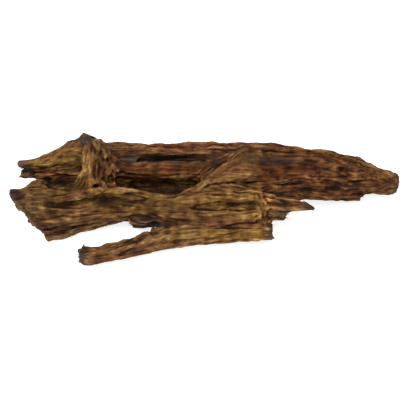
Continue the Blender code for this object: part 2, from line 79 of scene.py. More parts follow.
def line_gap(line: tuple[Point, ...], points: np.ndarray) -> tuple[np.ndarray, np.ndarray]:
    """How far points are from a line of straight runs.

    Args:
        line: the line's points, in mm.
        points: points, one a row, in mm.

    Returns:
        The distance in mm, and the place along the line from 0 to 1, one value a point.
    """
    nearest = np.full(len(points), np.inf)
    along = np.zeros(len(points))
    count = len(line) - 1
    for index in range(count):
        start, end = np.array(line[index:index + 2], float)
        run = end - start
        place = np.clip((points - start) @ run / (run @ run), 0, 1)
        gap = np.linalg.norm(points - start - place[:, None] * run, axis=1)
        closer = gap < nearest
        nearest[closer] = gap[closer]
        along[closer] = (index + place[closer]) / count
    return nearest, along


@dataclass(frozen=True)
class Streak:
    """A narrow tinted band along a line, in mm."""

    tone: Tone
    line: tuple[Point, ...]
    width: float
    strength: float = 1.0

    def share(self, points: np.ndarray, ragged: np.ndarray) -> np.ndarray:
        """How strongly the band shows at each point. It thins out towards its two ends."""
        gap, along = line_gap(self.line, points)
        ends = np.clip(6 * along * (1 - along) + 0.25, 0, 1)
        return self.strength * np.clip(1.5 * ends + 0.5 * ragged - gap / self.width, 0, 1)


@dataclass(frozen=True)
class Patch:
    """A tinted place on the root: its middle and its reach each way, in mm.

    edge is how soft its edge is, as a share of the reach.
    """

    tone: Tone
    middle: Point
    reach: Point
    strength: float = 1.0
    edge: float = 0.6


@dataclass(frozen=True)
class Zone:
    """A rounded place on the root: its middle and its reach each way, in mm."""

    middle: Point
    reach: Point

    def share(self, points: np.ndarray) -> np.ndarray:
        """How far inside the zone each point is, from 0 at its edge to 1 in its inner half."""
        away = np.linalg.norm((points - np.array(self.middle)) / np.array(self.reach), axis=1)
        inside = np.clip(2 - 2 * away, 0, 1)
        return inside * inside * (3 - 2 * inside)


@dataclass(frozen=True)
class Nudge:
    """A small push that refines the form inside a zone, in mm."""

    zone: Zone
    push: Point


@dataclass(frozen=True)
class Crack:
    """A crack or dent along a line, in mm, with a raised rim where it has one and painted shade inside."""

    line: tuple[Point, ...]
    width: float
    depth: float
    rim: float = 0.0
    # darkness is how strong the painted shade inside the crack is
    darkness: float = 0.8

    def away(self, points: np.ndarray) -> np.ndarray:
        """How far each point is from the line, in widths. It narrows towards its two ends."""
        gap, along = line_gap(self.line, points)
        return gap / (self.width * (0.25 + np.sqrt(4 * along * (1 - along))))


@dataclass(frozen=True)
class Tuft:
    """A broken end with splinters: its middle and reach, and which way they point, in mm."""

    middle: Point
    reach: Point
    heading: Point
    count: int
    length: float


@dataclass(frozen=True)
class GrainLine:
    """The middle line of a strand, from -X to +X, in mm.

    joins is where along X the strand's grain meets that of the rest.
    """

    points: tuple[Point, ...]
    girth: float
    joins: float


@dataclass(frozen=True)
class Swirl:
    """A place where the grain turns off the root's length, in mm."""

    middle: Point
    grain: Point
    outward: Point
    along: float
    across: float


@dataclass(frozen=True)
class Grooves:
    """A layer of grooves along the grain.

    A groove is depth mm deep and falls in where a noise of that length and width passes
    through zero. edge is how wide it opens, and sharp how steeply.
    """

    depth: float
    length: float
    width: float
    edge: float
    sharp: float = 1.0


GRAIN_LINES = (
    GrainLine(((-127, 40, 37), (-58, 36, 35), (45, 35, 37), (98, 37, 34), (138, 37, 27),
               (167, 40, 22), (196, 40, 14)), 27, 45),
    GrainLine(((-205, -17, 28), (-148, -17, 28), (-88, -7, 27), (-17, -9, 24)), 18, -17),
    GrainLine(((-48, -13, 26), (13, -12, 29), (55, -8, 29)), 13, 13),
    GrainLine(((-127, -66, 8), (-87, -59, 10), (-57, -47, 11), (-31, -39, 12), (25, -30, 12),
               (66, -29, 12)), 11, 25),
    GrainLine(((-191, 28, 43), (-148, 34, 49), (-106, 39, 51)), 14, -106),
)

SWIRLS = (
    Swirl((-112, 18, 62), (0.05, -0.76, -0.64), (0, -0.64, 0.76), 36, 15),
    Swirl((-127, 2, 50), (-0.70, -0.55, -0.45), (0, -0.55, 0.83), 14, 8),
    Swirl((6, 12, 56), (0.80, 0.47, 0.36), (-0.1, -0.6, 0.79), 46, 11),
    Swirl((56, -15, 29), (0.20, -0.76, -0.62), (0.2, -0.6, 0.77), 15, 6),
)

PATCHES = (
    Patch(Tone.RED, (150, 25, 36), (75, 42, 34), 0.9),
    Patch(Tone.RED, (95, 20, 40), (50, 26, 26), 0.9),
    Patch(Tone.RED, (84, -2, 36), (20, 14, 9), 0.9),
    Patch(Tone.RED, (20, 45, 61), (125, 20, 15), 0.6),
    Patch(Tone.RED, (-63, 20, 39), (30, 14, 12), 0.7),
    Patch(Tone.RED, (-97, 12, 60), (14, 20, 20), 0.7),
    Patch(Tone.ORANGE, (76, 16, 54), (34, 12, 9), 1.0),
    Patch(Tone.ORANGE, (-37, 17, 54), (54, 10, 8), 1.0),
    Patch(Tone.ORANGE, (22, 20, 57), (20, 16, 9), 0.4),
    Patch(Tone.ORANGE, (75, 42, 62), (36, 12, 8), 0.4),
    Patch(Tone.MAUVE, (115, 22, 51), (24, 8, 8), 0.8),
    Patch(Tone.MAUVE, (-148, 19, 44), (24, 12, 9), 0.6),
    Patch(Tone.MAUVE, (-100, -62, 13), (40, 16, 18), 0.4),
    Patch(Tone.MAUVE, (-20, 46, 62), (80, 14, 14), 0.8),
    Patch(Tone.MAUVE, (-105, -22, 30), (40, 9, 8), 0.5),
    Patch(Tone.MAUVE, (33, 12, 56), (18, 14, 9), 0.6),
    Patch(Tone.MAUVE, (100, -2, 30), (26, 12, 9), 0.7),
    Patch(Tone.OLIVE, (-165, 28, 58), (38, 16, 12), 0.7),
    Patch(Tone.OLIVE, (-142, 4, 48), (30, 16, 12), 1.0),
    Patch(Tone.OLIVE, (-112, -14, 38), (46, 9, 9), 1.0),
    Patch(Tone.OLIVE, (30, -14, 36), (34, 22, 14), 0.8),
    Patch(Tone.OLIVE, (34, -40, 19), (44, 9, 8), 0.9),
    Patch(Tone.OLIVE, (151, 21, 37), (16, 10, 9), 0.7),
    Patch(Tone.OLIVE, (-60, -18, 36), (46, 16, 14), 0.5),
    Patch(Tone.PALE, (-164, -7, 50), (9, 7, 5), 0.4),
    Patch(Tone.PALE, (-98, -10, 49), (46, 6, 4), 0.3),
    Patch(Tone.PALE, (-105, -1, 51), (19, 13, 8), 0.45, 1.0),
    Patch(Tone.PALE, (-62, 16, 46), (14, 8, 5), 0.4, 1.0),
    Patch(Tone.PALE, (44, -12, 35), (13, 8, 6), 0.35, 1.0),
    Patch(Tone.PALE, (30, 4, 57), (28, 16, 12), 0.25),
    Patch(Tone.PALE, (59, -20, 27), (14, 16, 16), 1.0, 1.0),
    Patch(Tone.PALE, (58, 2, 45), (13, 10, 8), 0.35, 1.0),
    Patch(Tone.PALE, (82, -12, 27), (16, 12, 8), 0.3, 1.0),
    Patch(Tone.PALE, (54, -36, 19), (10, 12, 9), 0.5),
    Patch(Tone.PALE, (112, 15, 42), (4, 4, 4), 0.6),
    Patch(Tone.PALE, (-118, 12, 62), (10, 28, 26), 0.25),
    Patch(Tone.PALE, (0, 6, 54), (46, 20, 18), 0.15),
    Patch(Tone.PALE, (34, -40, 17), (42, 10, 9), 0.35),
    Patch(Tone.PALE, (-38, -31, 21), (15, 9, 8), 0.45, 1.0),
    Patch(Tone.PALE, (8, -14, 38), (42, 14, 12), 0.25),
    Patch(Tone.PALE, (-150, 21, 43), (26, 8, 5), 0.55, 1.0),
    # Dark patches: partly darker wood, such as the slab's bands and broken end, the dark red band and the
    # scar, and partly painted shade, on the knot's right side and top, the ridge's shadow side, the dip
    # between the slab and the strata, the hollow, the pocket, the slot's left end, the prong's crotch, the
    # end faces and the beam's underside.
    Patch(Tone.DARK, (-100, -12, 37), (30, 11, 9), 0.95, 1.0),
    Patch(Tone.DARK, (-133, -16, 38), (24, 8, 5), 0.5, 1.0),
    Patch(Tone.DARK, (-43, 16, 32), (50, 18, 18), 0.65),
    Patch(Tone.DARK, (-147, -3, 46), (26, 9, 6.5), 1.0, 0.6),
    Patch(Tone.DARK, (-146, 17, 35), (28, 9, 5), 1.0, 0.5),
    Patch(Tone.OLIVE, (-146, 17, 37), (30, 10, 7), 1.0),
    Patch(Tone.DARK, (-186, 24, 45), (6, 10, 3), 0.5),
    Patch(Tone.DARK, (67, -35, 15), (6.5, 14, 12), 0.8, 0.4),
    Patch(Tone.DARK, (-166, -14, 48), (26, 18, 10), 0.7, 1.0),
    Patch(Tone.DARK, (-93, 14, 60), (12, 18, 15), 0.55, 1.0),
    Patch(Tone.DARK, (-102, 30, 76), (12, 10, 9), 0.5, 1.0),
    Patch(Tone.DARK, (-76, 26, 60), (12, 8, 5), 0.9),
    Patch(Tone.DARK, (-60, -47, 14), (14, 9, 8), 0.3, 1.0),
    Patch(Tone.DARK, (0, 18, 56), (22, 10, 9), 0.85, 1.0),
    Patch(Tone.DARK, (50, 28, 63), (20, 14, 9), 0.5, 1.0),
    Patch(Tone.DARK, (-30, -16, 33), (32, 16, 13), 0.35, 1.0),
    Patch(Tone.DARK, (76, 15, 53), (28, 10, 7), 0.4, 1.0),
    Patch(Tone.DARK, (-118, -64, 12), (15, 12, 12), 0.3, 1.0),
    Patch(Tone.DARK, (162, 32, 46), (12, 8, 6), 0.4, 1.0),
    Patch(Tone.DARK, (-189, -19, 46), (12, 12, 9), 0.5),
    Patch(Tone.DARK, (-179, -25, 36), (14, 14, 15), 0.75),
    Patch(Tone.DARK, (-173, -30, 24), (9, 12, 9), 0.6),
    Patch(Tone.DARK, (-166, -28, 11), (9, 12, 8), 0.7),
    Patch(Tone.DARK, (105, -4, 30), (18, 12, 7), 0.6),
    Patch(Tone.DARK, (130, 16, 26), (44, 10, 10), 0.4),
    Patch(Tone.DARK, (72, 22, 60), (24, 8, 5), 0.85, 1.0),
    Patch(Tone.DARK, (-36, -37, 23), (8, 6, 4), 0.4),
    Patch(Tone.DARK, (106, 27, 57), (10, 7, 4), 0.5, 1.0),
    Patch(Tone.DARK, (131, 24, 49), (9, 8, 5), 0.5, 1.0),
    Patch(Tone.GREY, (71, 23, 60), (24, 5, 5), 0.5, 1.0),
    Patch(Tone.GREY, (-34, 26, 59), (46, 6, 4), 0.8, 0.9),
    Patch(Tone.GREY, (-75, 26, 59), (9, 7, 5), 0.9),
    Patch(Tone.GREY, (-194, 28, 49), (12, 12, 12), 0.9),
    Patch(Tone.GREY, (-122, 40, 81), (12, 12, 9), 0.9),
    Patch(Tone.GREY, (-198, -12, 48), (12, 14, 14), 0.5, 1.0),
    Patch(Tone.GREY, (-128, -68, 11), (12, 12, 12), 0.8),
    Patch(Tone.GREY, (108, -10, 24), (14, 12, 9), 0.9),
    Patch(Tone.GREY, (76, -16, 20), (12, 8, 8), 0.6),
    Patch(Tone.GREY, (198, 36, 16), (9, 22, 18), 0.5),
    Patch(Tone.GREY, (-63, -25, 14), (20, 9, 8), 0.85),
    Patch(Tone.GREY, (64, -38, 12), (5, 12, 12), 0.8),
)

STREAKS = (
    # The dark streaks are painted shade in the slot and in the groove under the slab's front face.
    Streak(Tone.DARK, ((-70, 31, 60), (-38, 32, 59), (-17, 32, 58), (8, 31, 58)), 2.6),
    Streak(Tone.DARK, ((-186, -38, 22), (-166, -34, 17), (-158, -33, 16), (-149, -30, 16),
                       (-139, -27, 14), (-128, -24, 13), (-118, -21, 14), (-104, -26, 21)), 2.8),
    Streak(Tone.GREY, ((-163, -34, 8), (-151, -33, 7), (-140, -31, 7), (-126, -26, 7)), 2.8, 0.6),
    Streak(Tone.PALE, ((-163, -34, 8), (-151, -33, 7), (-140, -31, 7), (-126, -26, 7)), 3.0, 0.4),
    Streak(Tone.MAUVE, ((-6, -32, 24), (18, -29, 20), (33, -29, 20), (54, -30, 22)), 3.6),
    Streak(Tone.PALE, ((-4, -31, 23), (18, -28, 20), (33, -28, 20), (50, -29, 22)), 3.2, 0.55),
)

SOFT_ZONES = (
    Zone((-96, 10, 56), (16, 18, 20)),
    Zone((-138, -2, 50), (20, 12, 10)),
    Zone((52, -21, 31), (18, 12, 10)),
    Zone((30, -28, 19), (58, 9, 9)),
    Zone((8, 12, 58), (60, 36, 22)),
    Zone((-100, -12, 38), (50, 10, 9)),
    Zone((120, 18, 42), (30, 16, 14)),
)

NUDGES = (
    Nudge(Zone((178, 42, 50), (36, 40, 26)), (0, 0, -4)),
    Nudge(Zone((52, 46, 64), (34, 24, 16)), (0, 0, 2)),
    Nudge(Zone((98, 44, 60), (18, 22, 14)), (0, 0, -1)),
    Nudge(Zone((126, 40, 58), (26, 20, 14)), (0, 0, 2)),
    Nudge(Zone((196, 36, 14), (12, 20, 14)), (2.5, 0, 0)),
    Nudge(Zone((-37, 23, 57), (58, 9, 6)), (0, 0, 2)),
    Nudge(Zone((-64, -48, 17), (15, 11, 10)), (0, 2, 3)),
    Nudge(Zone((-128, 40, 80), (10, 12, 9)), (-1, 0, 4)),
    Nudge(Zone((-116, 40, 80), (7, 12, 9)), (0, 0, -4)),
    Nudge(Zone((-55, 46, 62), (16, 20, 14)), (0, 0, 2)),
    Nudge(Zone((12, 46, 62), (15, 20, 14)), (0, 0, 2.5)),
    Nudge(Zone((-45, 16, 47), (46, 9, 6)), (0, -1, -2.5)),
    Nudge(Zone((-196, -18, 46), (20, 18, 16)), (-1, -1, -2.5)),
    Nudge(Zone((-190, 29, 54), (10, 16, 6)), (-4, 0, 1)),
    Nudge(Zone((-191, 24, 44.5), (12, 14, 3)), (9, 0, 0)),
    Nudge(Zone((-169, -32, 6), (14, 20, 11)), (5, 0, 0)),
    Nudge(Zone((-190, -18, 45), (13, 14, 12)), (0, -2, -3)),
    Nudge(Zone((-155, -28, 6), (26, 14, 14)), (0, -5, 0)),
    Nudge(Zone((-146, 0, 51), (28, 11, 10)), (0, 1, -7)),
    Nudge(Zone((-146, 18, 37), (26, 10, 7)), (0, 4, 1)),
    Nudge(Zone((-126, -69, 12), (9, 10, 12)), (0, 3, 2)),
    Nudge(Zone((28, -42, 14), (60, 12, 14)), (0, -2.5, -1)),
)

FILLS = (
    Zone((-66, -23, 19), (13, 6, 5)),
    Zone((27, -30, 16), (38, 5, 6)),
    Zone((-46, -32, 14), (11, 7, 5)),
    Zone((-78, 33, 56), (9, 8, 4)),
)

CRACKS = (
    Crack(((-4, -6, 48), (1, -4, 50), (15, -1, 51), (33, 6, 45), (55, 9, 44)), 1.3, 2.2),
    Crack(((-26, -18, 30), (-12, -18, 32), (8, -20, 32), (28, -21, 32), (47, -21, 31)), 1.1, 1.6),
    Crack(((-22, -35, 21), (5, -32, 19), (33, -32, 18), (60, -31, 17)), 1.0, 1.2, 0, 0.7),
    Crack(((-180, -37, 21), (-166, -34, 17), (-158, -33, 16), (-149, -30, 16), (-139, -27, 14),
           (-128, -24, 13), (-104, -26, 21)), 1.6, 2.4, 0, 1.0),
    Crack(((38, 40, 63), (21, 22, 64), (8, 17, 58), (-6, 9, 53)), 1.3, 1.8, 0, 0.7),
    Crack(((-84, 15, 47), (-58, 14, 48), (-27, 11, 51), (-2, 10, 52)), 1.2, 1.6),
    Crack(((4, -10, 42), (28, -10, 42)), 1.0, 1.4, 0, 0.6),
    Crack(((62, -6, 36), (96, 11, 24)), 1.6, 2.2),
    Crack(((66, 10, 38), (100, 15, 36)), 1.1, 1.6, 0, 0.6),
    Crack(((46, -24, 23), (53, -24, 30)), 1.0, 1.4, 0, 0.6),
    Crack(((-173, -18, 50), (-156, -16, 49)), 1.4, 1.6, 0, 0.7),
    Crack(((-86, -17, 34), (-70, -17, 34)), 1.4, 1.6, 0, 0.7),
    Crack(((120, 24, 50), (127, 23, 49)), 2.2, 1.0, 0.2, 0.3),
    Crack(((131, 23, 49), (141, 22, 49)), 2.4, 1.0, 0.2, 0.25),
    Crack(((138, 20, 42), (153, 19, 40)), 2.8, 1.5, 0.3, 0.4),
    Crack(((120, 16, 31), (141, 16, 29)), 2.2, 1.5, 0.2, 0.5),
    Crack(((99, 28, 58), (114, 27, 56)), 2.2, 0.8, 0.1, 0.2),
    Crack(((151, 22, 17), (172, 22, 15)), 2.0, 1.5, 0, 0.5),
    Crack(((108, 19, 44), (120, 19, 43)), 2.6, 1.5, 0.3, 0.6),
    Crack(((-108, 26, 71), (-105, 16, 64)), 2.6, 1.8, 0, 0.5),
    Crack(((-101, 20, 66), (-98, 10, 58)), 2.8, 2.2, 0, 0.5),
    Crack(((-96, 12, 58), (-93, 4, 53)), 2.8, 2.2, 0, 0.5),
    Crack(((-107, 8, 50), (-98, 5, 48)), 2.4, 2.0, 0, 0.6),
)

TUFTS = (
    Tuft((-188, 28, 52), (3, 8, 4), (-1, 0.05, 0.12), 9, 6),
    Tuft((-187, 22, 43), (3, 7, 3), (-1, -0.1, -0.05), 9, 6),
    Tuft((-196, -15, 50), (4, 6, 3), (-1, -0.2, 0.1), 6, 4),
    Tuft((-180, -26, 35), (12, 6, 14), (-0.8, -0.3, -0.4), 14, 4),
    Tuft((-124, -69, 13), (3, 8, 6), (-1, -0.25, 0.05), 12, 5),
    Tuft((-122, -60, 15), (2, 2, 2), (-0.2, 0.3, 1), 3, 6),
    Tuft((-76, -23, 18), (3, 4, 4), (-1, -0.1, -0.1), 5, 5),
    Tuft((103, -10, 25), (4, 5, 3), (1, -0.1, -0.2), 6, 5),
    Tuft((82, -16, 20), (5, 6, 4), (1, -0.2, -0.2), 6, 4),
    Tuft((62, -36, 16), (3, 14, 9), (1, -0.15, -0.1), 18, 4),
    Tuft((197, 32, 20), (3, 10, 10), (1, 0, 0), 14, 3),
    Tuft((160, 18, 14), (4, 6, 4), (1, -0.2, -0.3), 6, 4),
    Tuft((-122, 40, 81), (6, 6, 2), (-0.3, 0.1, 1), 6, 3),
)


class Lattice:
    """Smooth noise on a lattice of seeded slopes, for many points at once."""

    SIZE = 256

    def __init__(self, seed: int) -> None:
        """Draws the slopes.

        Args:
            seed: the seed of the draw.
        """
        draw = np.random.default_rng(seed)
        self.order = draw.permutation(self.SIZE)
        slopes = draw.normal(size=(self.SIZE, 3))
        self.slopes = slopes / np.linalg.norm(slopes, axis=1)[:, None]

    def at(self, places: np.ndarray) -> np.ndarray:
        """The noise at each place, mostly within 0.6 of zero.

        Args:
            places: points, one a row, in lattice steps.

        Returns:
            One value a point.
        """
        base = np.floor(places).astype(int)
        inside = places - base
        fade = inside**3 * (inside * (inside * 6 - 15) + 10)
        total = np.zeros(len(places))
        for corner in itertools.product((0, 1), repeat=3):
            cell = base + corner
            index = np.zeros(len(places), int)
            for axis in range(3):
                index = self.order[(index + cell[:, axis]) % self.SIZE]
            ramp = ((inside - corner) * self.slopes[index]).sum(axis=1)
            share = np.where(corner, fade, 1 - fade).prod(axis=1)
            total += ramp * share
        return total


@dataclass(frozen=True)
class Places:
    """Where the skin's points are, and their coordinates along and across the grain, in mm."""

    points: np.ndarray
    grain: np.ndarray
    swirl: np.ndarray
    swirl_share: np.ndarray

    def noise(self, seed: int, length: float, width: float) -> np.ndarray:
        """Noise stretched along the grain.

        Args:
            seed: the seed of the lattice.
            length: how far it stays alike along the grain, in mm.
            width: how far it stays alike across the grain, in mm.

        Returns:
            One value a point.
        """
        lattice = Lattice(seed)
        steps = np.array((length, width, width))
        straight = lattice.at(self.grain / steps)
        turned = lattice.at(self.swirl / steps)
        return straight + (turned - straight) * self.swirl_share


@dataclass(frozen=True)
class GrainField:
    """The direction of the grain all over the root."""

    lines: tuple[GrainLine, ...] = GRAIN_LINES
    swirls: tuple[Swirl, ...] = SWIRLS
    wander: float = 3.4
    wander_length: float = 34.0

    def _wandered(self, points: np.ndarray) -> np.ndarray:
        """Points moved a little to and fro, so that no fibre runs quite straight."""
        steps = points / (self.wander_length, self.wander_length / 2, self.wander_length / 2)
        shifts = [Lattice(seed).at(steps) + 0.4 * Lattice(seed).at(steps * 2.7)
                  for seed in (61, 62, 63)]
        return points + self.wander * np.stack(shifts, axis=1)

    def _straight(self, points: np.ndarray) -> np.ndarray:
        """Points moved so that the strands' grain runs along X."""
        shifts = []
        nearness = []
        for line in self.lines:
            x, y, z = np.array(line.points, float).T
            middle_y, middle_z = np.interp(points[:, 0], x, y), np.interp(points[:, 0], x, z)
            past = np.maximum(np.maximum(x[0] - points[:, 0], points[:, 0] - x[-1]), 0)
            away = (points[:, 1] - middle_y) ** 2 + (points[:, 2] - middle_z) ** 2 + past**2
            nearness.append(np.exp(-away / line.girth**2))
            shifts.append(np.stack([middle_y - np.interp(line.joins, x, y),
                                    middle_z - np.interp(line.joins, x, z)], axis=1))
        shares = np.array(nearness) + 1e-9
        shares /= shares.sum(axis=0)
        moved = points.copy()
        moved[:, 1:] -= (shares[:, :, None] * np.array(shifts)).sum(axis=0)
        return moved

    def at(self, points: np.ndarray) -> Places:
        """The grain coordinates of points.

        Args:
            points: points, one a row, in mm.

        Returns:
            The points with their coordinates along and across the grain.
        """
        moved = self._wandered(points)
        turned = np.zeros_like(points)
        share = np.zeros(len(points))
        for swirl in self.swirls:
            along = np.array(swirl.grain) / np.linalg.norm(swirl.grain)
            side = np.cross(swirl.outward, along)
            side /= np.linalg.norm(side)
            out = np.cross(along, side)
            offset = moved - np.array(swirl.middle)
            local = offset @ np.stack([along, side, out], axis=1)
            far = (local[:, 0] / swirl.along) ** 4 + (local[:, 1] / swirl.across) ** 2
            far += (local[:, 2] / (2 * swirl.across)) ** 2
            near = np.exp(-far * 0.8)
            better = near > share
            turned[better] = local[better]
            share = np.maximum(share, near)
        return Places(points, self._straight(moved), turned, np.clip(1.4 * share - 0.2, 0, 1))


@dataclass(frozen=True)
class RootWood:
    """The root itself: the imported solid's form with a fine skin of weathered fibres."""

    voxel: float = 1.05
    stretch: float = 1.6
    layers: tuple[Grooves, ...] = (
        Grooves(depth=1.2, length=90, width=11, edge=0.45),
        Grooves(depth=1.0, length=42, width=4.4, edge=0.34),
        Grooves(depth=0.5, length=20, width=2.3, edge=0.38),
    )
    cracks: Grooves = Grooves(depth=2.0, length=70, width=9, edge=0.12)
    lump_depth: float = 1.2
    gnarl_depth: float = 2.2
    pit_depth: float = 1.6
    end_roughness: float = 1.8
    soft_steps: int = 3
    zone_steps: int = 70
    hollow_reach: float = 26.0
    hollow_rays: int = 36
    proud_steps: int = 10
    proud_full: float = 0.7

    def fine_skin(self) -> bpy.types.Object:
        """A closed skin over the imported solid, its quads longer along the root than across."""
        shape = bmesh.new()
        shape.from_mesh(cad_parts[NODE].data)
        bmesh.ops.remove_doubles(shape, verts=shape.verts, dist=1e-6)
        for fill in FILLS:
            lump = bmesh.ops.create_icosphere(shape, subdivisions=3, radius=MM)["verts"]
            bmesh.ops.scale(shape, vec=fill.reach, verts=lump)
            bmesh.ops.translate(shape, vec=Vector(fill.middle) * MM, verts=lump)
        bmesh.ops.scale(shape, vec=(1 / self.stretch, 1, 1), verts=shape.verts)
        data = bpy.data.meshes.new("root_wood")
        shape.to_mesh(data)
        shape.free()
        piece = bpy.data.objects.new("root_wood", data)
        bpy.context.scene.collection.objects.link(piece)
        rounding = piece.modifiers.new("round_facets", "SUBSURF")
        rounding.levels = rounding.render_levels = 2
        remesh = piece.modifiers.new("fine_skin", "REMESH")
        remesh.mode = "VOXEL"
        remesh.voxel_size = self.voxel * MM
        graph = bpy.context.evaluated_depsgraph_get()
        piece.data = bpy.data.meshes.new_from_object(piece.evaluated_get(graph))
        piece.modifiers.clear()
        self.drop_scraps(piece.data)
        return piece

    def drop_scraps(self, mesh: bpy.types.Mesh) -> None:
        """Keeps the largest body of the skin, as the remesh can leave a sealed bubble inside.

        Args:
            mesh: the skin, changed in place.
        """
        shape = bmesh.new()
        shape.from_mesh(mesh)
        left = set(shape.verts)
        bodies = []
        while left:
            body = [left.pop()]
            for vert in body:
                near = {edge.other_vert(vert) for edge in vert.link_edges} & left
                left -= near
                body.extend(near)
            bodies.append(body)
        bodies.sort(key=len)
        scraps = [vert for body in bodies[:-1] for vert in body]
        bmesh.ops.delete(shape, geom=scraps, context="VERTS")
        shape.to_mesh(mesh)
        shape.free()

    def relief(self, places: Places, normals: np.ndarray) -> tuple[np.ndarray, np.ndarray]:
        """How far the skin stands out or falls in, and how cracked it is.

        Args:
            places: the skin's points.
            normals: the skin's normals.

        Returns:
            The height in mm and the crack share, which the finish paints as shade, one value a point.
        """
        height = np.zeros(len(places.points))
        for seed, layer in enumerate(self.layers):
            found = np.abs(places.noise(10 + seed, layer.length, layer.width))
            groove = np.clip(1 - found / layer.edge, 0, 1) ** layer.sharp
            height += layer.depth * (0.4 - groove)
        line = np.abs(places.noise(20, self.cracks.length, self.cracks.width))
        where = np.clip(3 * places.noise(21, 55, 16) + 0.25, 0, 1)
        crack = where * np.clip(1 - line / self.cracks.edge, 0, 1) ** self.cracks.sharp
        height -= self.cracks.depth * crack
        steps = places.points / (12, 7, 7)
        lumps = Lattice(30).at(steps) + 0.5 * Lattice(31).at(steps * 2.1)
        gnarl = self.gnarl(places.points)
        height += (self.lump_depth + (self.gnarl_depth - self.lump_depth) * gnarl) * lumps
        pits = np.clip((places.noise(32, 15, 6) - 0.18) / 0.3, 0, 1)
        height -= self.pit_depth * (0.25 + 0.75 * gnarl) * pits
        crack = np.maximum(0.8 * crack, 0.4 * pits * gnarl)
        steps = places.points / 7
        wavy = places.points + np.stack([Lattice(seed).at(steps) for seed in (71, 72, 73)], axis=1)
        uneven = 1 + 0.7 * Lattice(74).at(places.points / 4)
        for named in CRACKS:
            away = named.away(wavy) * uneven
            open_share = np.clip(1.25 - away, 0, 1)
            height -= named.depth * open_share
            height += named.rim * np.exp(-((away - 1.6) / 0.5) ** 2)
            crack = np.maximum(crack, named.darkness * open_share)
        end = np.clip((np.abs(normals[:, 0]) - 0.55) / 0.3, 0, 1)
        rough = places.noise(40, 40, 2.0) + 0.7 * places.noise(41, 40, 4.5)
        height += self.end_roughness * end * rough
        return height, crack

    def gnarl(self, points: np.ndarray) -> np.ndarray:
        """How knobby the wood is at each point: at the knot's foot and at the thick end."""
        beam = np.clip((points[:, 0] - 90) / 40, 0, 1)
        knot = np.exp(-(((points - (-101, 14, 58)) / (11, 20, 20)) ** 2).sum(axis=1))
        return np.maximum(beam, 0.4 * knot)

    def smoothed(self, mesh: bpy.types.Mesh, values: np.ndarray, steps: int) -> np.ndarray:
        """Values averaged over each point's neighbours, several times.

        Args:
            mesh: the skin.
            values: one row a point.
            steps: how many times to average.

        Returns:
            The averaged values.
        """
        ends = np.empty(len(mesh.edges) * 2, np.int32)
        mesh.edges.foreach_get("vertices", ends)
        first, last = ends.reshape(-1, 2).T
        count = np.bincount(ends, minlength=len(values)).clip(1)
        result = values.reshape(len(values), -1).astype(float)
        for _ in range(steps):
            columns = []
            for column in result.T:
                total = np.bincount(first, column[last], len(values))
                total += np.bincount(last, column[first], len(values))
                columns.append(total / count)
            result = 0.5 * (result + np.stack(columns, axis=1))
        return result.reshape(values.shape)

    def shaped(self, mesh: bpy.types.Mesh, points: np.ndarray) -> np.ndarray:
        """The skin's points, pushed where the form needs it and softened.

        Args:
            mesh: the skin.
            points: its points, in mm.

        Returns:
            The moved points.
        """
        moved = points.copy()
        for nudge in NUDGES:
            moved += nudge.zone.share(points)[:, None] * np.array(nudge.push)
        moved = self.smoothed(mesh, moved, self.soft_steps)
        soft = self.smoothed(mesh, moved, self.zone_steps)
        share = np.max([zone.share(points) for zone in SOFT_ZONES], axis=0)[:, None]
        return moved + (soft - moved) * share

    def hollowness(self, mesh: bpy.types.Mesh, points: np.ndarray,
                   normals: np.ndarray) -> np.ndarray:
        """How much of the sky the wood itself hides from each point, from 0 to 1. The finish paints shade
        with it.

        Args:
            mesh: the skin.
            points: the skin's points, in mm.
            normals: the skin's normals.

        Returns:
            One value a point.
        """
        solid = bmesh.new()
        solid.from_mesh(mesh)
        tree = BVHTree.FromBMesh(solid)
        solid.free()
        turn = math.pi * (3 - math.sqrt(5))
        rays = []
        for k in range(self.hollow_rays):
            z = 1 - 2 * (k + 0.5) / self.hollow_rays
            flat = math.sqrt(1 - z * z)
            rays.append(Vector((flat * math.cos(turn * k), flat * math.sin(turn * k), z)))
        facing = normals @ np.array(rays).T
        reach = self.hollow_reach * MM
        starts = (points + normals * 1.2) * MM
        found = np.zeros(len(points))
        for index, (start, cosines) in enumerate(zip(starts.tolist(), facing)):
            hidden = 0.0
            for ray in np.flatnonzero(cosines > 0.1).tolist():
                distance = tree.ray_cast(start, rays[ray], reach)[3]
                if distance is not None:
                    hidden += cosines[ray] * (1 - distance / reach)
            found[index] = hidden / cosines[cosines > 0.1].sum()
        return found

    def tones(self, places: Places) -> dict[Tone, np.ndarray]:
        """How strongly each tone shows at each point.

        Args:
            places: the skin's points.

        Returns:
            One value a point for each tone.
        """
        ragged = 0.7 * places.noise(50, 26, 6) + 0.6 * places.noise(51, 12, 2.6)
        found = {tone: np.zeros(len(places.points)) for tone in Tone}
        for patch in PATCHES:
            offset = (places.points - np.array(patch.middle)) / np.array(patch.reach)
            inside = 1 + patch.edge / 2 - np.linalg.norm(offset, axis=1) + ragged
            share = patch.strength * np.clip(inside / patch.edge, 0, 1)
            found[patch.tone] = np.maximum(found[patch.tone], share)
        for streak in STREAKS:
            share = streak.share(places.points, ragged)
            found[streak.tone] = np.maximum(found[streak.tone], share)
        return found

